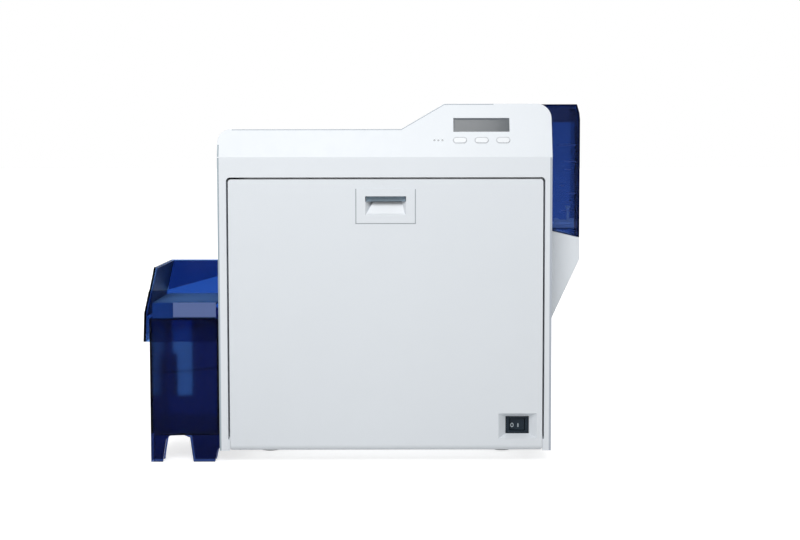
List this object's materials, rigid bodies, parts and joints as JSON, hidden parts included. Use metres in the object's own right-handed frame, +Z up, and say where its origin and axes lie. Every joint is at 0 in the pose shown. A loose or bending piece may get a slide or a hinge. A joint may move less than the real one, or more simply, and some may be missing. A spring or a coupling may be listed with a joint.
{
  "type": "id card printer",
  "caption": "Desktop card printer with a drop-down front door, leaning control panel, hinged blue card hopper on the right and clear card stacker on the left.",
  "frame": {"origin": "middle of the machine's footprint, on the table", "axes": "+X to the machine's right seen from the front, +Y to the rear, +Z up; the front faces -Y"},
  "size_m": [0.4536, 0.3848, 0.3706],
  "materials": {
    "casing_white": "fine moulded texture",
    "door_white": "fine moulded texture",
    "inner_grey": "plain moulded",
    "key_white": "smooth",
    "clear_blue": "tinted, see-through",
    "clear_navy": "tinted, see-through",
    "black_plastic": "fine grain",
    "lcd_glass": "grey display",
    "lamp_clear": "clear",
    "steel_sheet": "zinc plated",
    "circuit_board": "solder mask",
    "rubber_black": "matt",
    "heat_rubber": "silicone",
    "film_pale": "film",
    "ribbon_red": "dye ribbon",
    "cassette_grey": "moulded",
    "metal_case": "plated",
    "weight_grey": "satin"
  },
  "bodies": {
    "chassis": {"base_plate": "steel_sheet", "rubber_feet": "rubber_black", "front_frame": "steel_sheet", "engine_plate": "steel_sheet", "path_side_plate": "steel_sheet", "card_guides": "steel_sheet", "left_side_cover": "casing_white", "right_side_cover": "casing_white", "top_cover": "casing_white", "rear_cover": "casing_white", "front_fascia": "casing_white", "control_board": "circuit_board", "lcd_module": "black_plastic", "lcd_window": "lcd_glass", "lamp_light_pipes": "lamp_clear", "switch_housing": "black_plastic", "hinge_pins": "steel_sheet", "hopper_bracket": "casing_white", "hopper_frame": "inner_grey", "timing_belt": "rubber_black", "transport_motor": "black_plastic", "thermal_head": "metal_case", "film_cassette_frame": "cassette_grey", "transfer_film": "film_pale", "ribbon_cassette_frame": "cassette_grey", "ink_ribbon": "ribbon_red", "spool_motors": "black_plastic", "power_supply": "metal_case", "power_inlet": "black_plastic", "main_board": "circuit_board", "fan_frame": "black_plastic", "rear_screws": "steel_sheet"},
    "front_door": {"door_panel": "door_white", "door_liner": "inner_grey", "door_handle": "door_white", "door_magnets": "metal_case", "door_screws": "steel_sheet"},
    "hopper_lid": {"hopper_cover": "clear_blue"},
    "weight": {"card_weight": "weight_grey"},
    "key_left": {"button_left": "key_white"},
    "key_middle": {"button_middle": "key_white"},
    "key_right": {"button_right": "key_white"},
    "rocker": {"switch_rocker": "black_plastic"},
    "stacker": {"stacker_tray": "clear_navy", "stacker_hood": "clear_blue"},
    "rest": {"card_rest": "inner_grey"},
    "fan": {"fan_rotor": "black_plastic"},
    "pick": {"pick_roller": "rubber_black"},
    "entry": {"entry_roller": "rubber_black"},
    "middle": {"middle_roller": "rubber_black"},
    "exit": {"exit_roller": "rubber_black"},
    "pinch": {"entry_pinch_roller": "inner_grey"},
    "pinion": {"motor_pinion": "metal_case"},
    "platen": {"platen_roller": "rubber_black"},
    "heat": {"heat_roller": "heat_rubber"},
    "backup": {"backup_roller": "steel_sheet"},
    "film_supply": {"film_supply_spool": "film_pale"},
    "film_takeup": {"film_takeup_spool": "film_pale"},
    "ribbon_supply": {"ribbon_supply_spool": "ribbon_red"},
    "ribbon_takeup": {"ribbon_takeup_spool": "ribbon_red"}
  },
  "joints": [
    {"name": "door_hinge", "type": "hinge", "parent": "chassis", "child": "front_door", "pos_m": [0.02285, -0.1825, 0.0216], "axis": [1, 0, 0], "range_deg": [0, 88]},
    {"name": "hopper_lid_hinge", "type": "hinge", "parent": "chassis", "child": "hopper_lid", "pos_m": [0.13675, -0.1155, 0.3644], "axis": [0, -1, 0], "range_deg": [0, 80]},
    {"name": "card_weight_slide", "type": "slide", "parent": "chassis", "child": "weight", "axis": [0, 0, 1], "range_m": [0, 0.094]},
    {"name": "key_left_press", "type": "slide", "parent": "chassis", "child": "key_left", "axis": [0, 0.9455, -0.3256], "range_m": [0, 0.0008], "stiffness_N_per_m": 400, "springref_m": -0.0015},
    {"name": "key_middle_press", "type": "slide", "parent": "chassis", "child": "key_middle", "axis": [0, 0.9455, -0.3256], "range_m": [0, 0.0008], "stiffness_N_per_m": 400, "springref_m": -0.0015},
    {"name": "key_right_press", "type": "slide", "parent": "chassis", "child": "key_right", "axis": [0, 0.9455, -0.3256], "range_m": [0, 0.0008], "stiffness_N_per_m": 400, "springref_m": -0.0015},
    {"name": "power_rocker", "type": "hinge", "parent": "chassis", "child": "rocker", "pos_m": [0.15985, -0.178, 0.0382], "axis": [0, 0, 1], "range_deg": [0, 10]},
    {"name": "stacker_lift", "type": "slide", "parent": "chassis", "child": "stacker", "axis": [0, 0, 1], "range_m": [0, 0.01]},
    {"name": "card_rest_slide", "type": "slide", "parent": "stacker", "child": "rest", "axis": [0, 0, -1], "range_m": [0, 0.108], "stiffness_N_per_m": 54, "springref_m": -0.03},
    {"name": "fan_spin", "type": "hinge", "parent": "chassis", "child": "fan", "pos_m": [-0.06715, 0.1785, 0.236], "axis": [0, 1, 0], "continuous": true},
    {"name": "entry_spin", "type": "hinge", "parent": "chassis", "child": "entry", "pos_m": [0.10785, -0.1155, 0.234], "axis": [0, 1, 0], "continuous": true},
    {"name": "pick_spin", "type": "hinge", "parent": "chassis", "child": "pick", "pos_m": [0.17275, -0.1155, 0.232], "axis": [0, 1, 0], "continuous": true},
    {"name": "middle_spin", "type": "hinge", "parent": "chassis", "child": "middle", "pos_m": [0.05285, -0.1155, 0.234], "axis": [0, 1, 0], "continuous": true},
    {"name": "exit_spin", "type": "hinge", "parent": "chassis", "child": "exit", "pos_m": [-0.09515, -0.1155, 0.234], "axis": [0, 1, 0], "continuous": true},
    {"name": "pinch_spin", "type": "hinge", "parent": "chassis", "child": "pinch", "pos_m": [0.10785, -0.1155, 0.2488], "axis": [0, 1, 0], "continuous": true},
    {"name": "pinion_spin", "type": "hinge", "parent": "chassis", "child": "pinion", "pos_m": [0.11991, -0.0415, 0.21311], "axis": [0, 1, 0], "continuous": true},
    {"name": "film_supply_spin", "type": "hinge", "parent": "chassis", "child": "film_supply", "pos_m": [-0.00715, -0.1155, 0.098], "axis": [0, 1, 0], "continuous": true},
    {"name": "film_takeup_spin", "type": "hinge", "parent": "chassis", "child": "film_takeup", "pos_m": [-0.08915, -0.1155, 0.13], "axis": [0, 1, 0], "continuous": true},
    {"name": "platen_spin", "type": "hinge", "parent": "chassis", "child": "platen", "pos_m": [0.04285, -0.1155, 0.15], "axis": [0, 1, 0], "continuous": true},
    {"name": "heat_roller_spin", "type": "hinge", "parent": "chassis", "child": "heat", "pos_m": [0.00285, -0.1155, 0.2255], "axis": [0, 1, 0], "continuous": true},
    {"name": "backup_roller_spin", "type": "hinge", "parent": "chassis", "child": "backup", "pos_m": [0.00285, -0.1155, 0.25186], "axis": [0, 1, 0], "continuous": true},
    {"name": "ribbon_supply_spin", "type": "hinge", "parent": "chassis", "child": "ribbon_supply", "pos_m": [0.12085, -0.1155, 0.185], "axis": [0, 1, 0], "continuous": true},
    {"name": "ribbon_takeup_spin", "type": "hinge", "parent": "chassis", "child": "ribbon_takeup", "pos_m": [0.12085, -0.1155, 0.1], "axis": [0, 1, 0], "continuous": true}
  ],
  "couplings": [
    {"joint": "pick_spin", "follows": "entry_spin", "ratio": 1},
    {"joint": "middle_spin", "follows": "entry_spin", "ratio": 1},
    {"joint": "exit_spin", "follows": "entry_spin", "ratio": 1},
    {"joint": "pinch_spin", "follows": "entry_spin", "ratio": -1},
    {"joint": "pinion_spin", "follows": "entry_spin", "ratio": -3},
    {"joint": "film_takeup_spin", "follows": "film_supply_spin", "ratio": 1.3333},
    {"joint": "platen_spin", "follows": "film_supply_spin", "ratio": 3.2},
    {"joint": "heat_roller_spin", "follows": "film_supply_spin", "ratio": 2.2069},
    {"joint": "backup_roller_spin", "follows": "film_supply_spin", "ratio": -3.2},
    {"joint": "ribbon_takeup_spin", "follows": "ribbon_supply_spin", "ratio": 1.4286}
  ]
}
